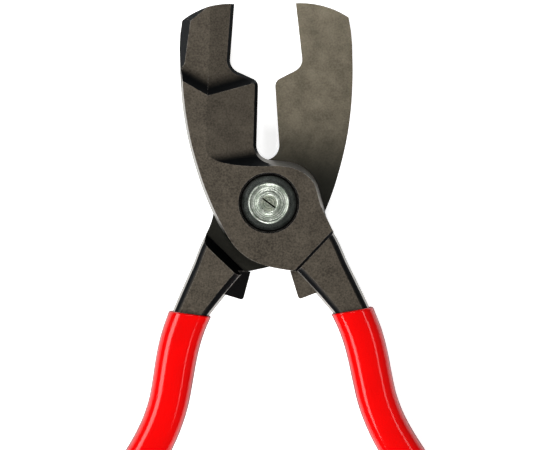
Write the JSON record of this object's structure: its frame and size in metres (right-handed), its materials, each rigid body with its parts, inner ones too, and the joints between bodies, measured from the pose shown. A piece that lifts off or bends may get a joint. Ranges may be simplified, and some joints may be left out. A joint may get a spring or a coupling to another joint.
{
  "type": "cable shears",
  "caption": "Hand cable shears with stepped cutting edges, two lapped forged halves on a recessed pivot bolt with a spring washer and hex nut, and dipped grips.",
  "frame": {"origin": "on the pivot axis, in the plane of the rear half's outer face, on which the tool lies", "axes": "+Z along the pivot axis, out of the front face; +Y from the pivot to the blade tips, along the middle of the mouth; +X to the right seen from the front"},
  "size_m": [0.1248, 0.1882, 0.0143],
  "materials": {
    "forged_steel": "black phosphated forging, satin, slightly mottled",
    "dipped_grip": "glossy dipped plastic",
    "zinc_hardware": "turned and zinc plated",
    "screw": "turned, pale yellow plated"
  },
  "bodies": {
    "front": {"front_half": "forged_steel", "front_grip": "dipped_grip", "pivot_bolt": "zinc_hardware", "lock_screw": "screw", "spring_washer": "zinc_hardware", "nut_washer": "zinc_hardware", "pivot_nut": "zinc_hardware"},
    "rear": {"rear_half": "forged_steel", "rear_grip": "dipped_grip"}
  },
  "joints": [
    {"name": "pivot", "type": "hinge", "parent": "front", "child": "rear", "pos_m": [0, 0, 0], "axis": [0, 0, 1], "range_deg": [-20, 32]}
  ]
}
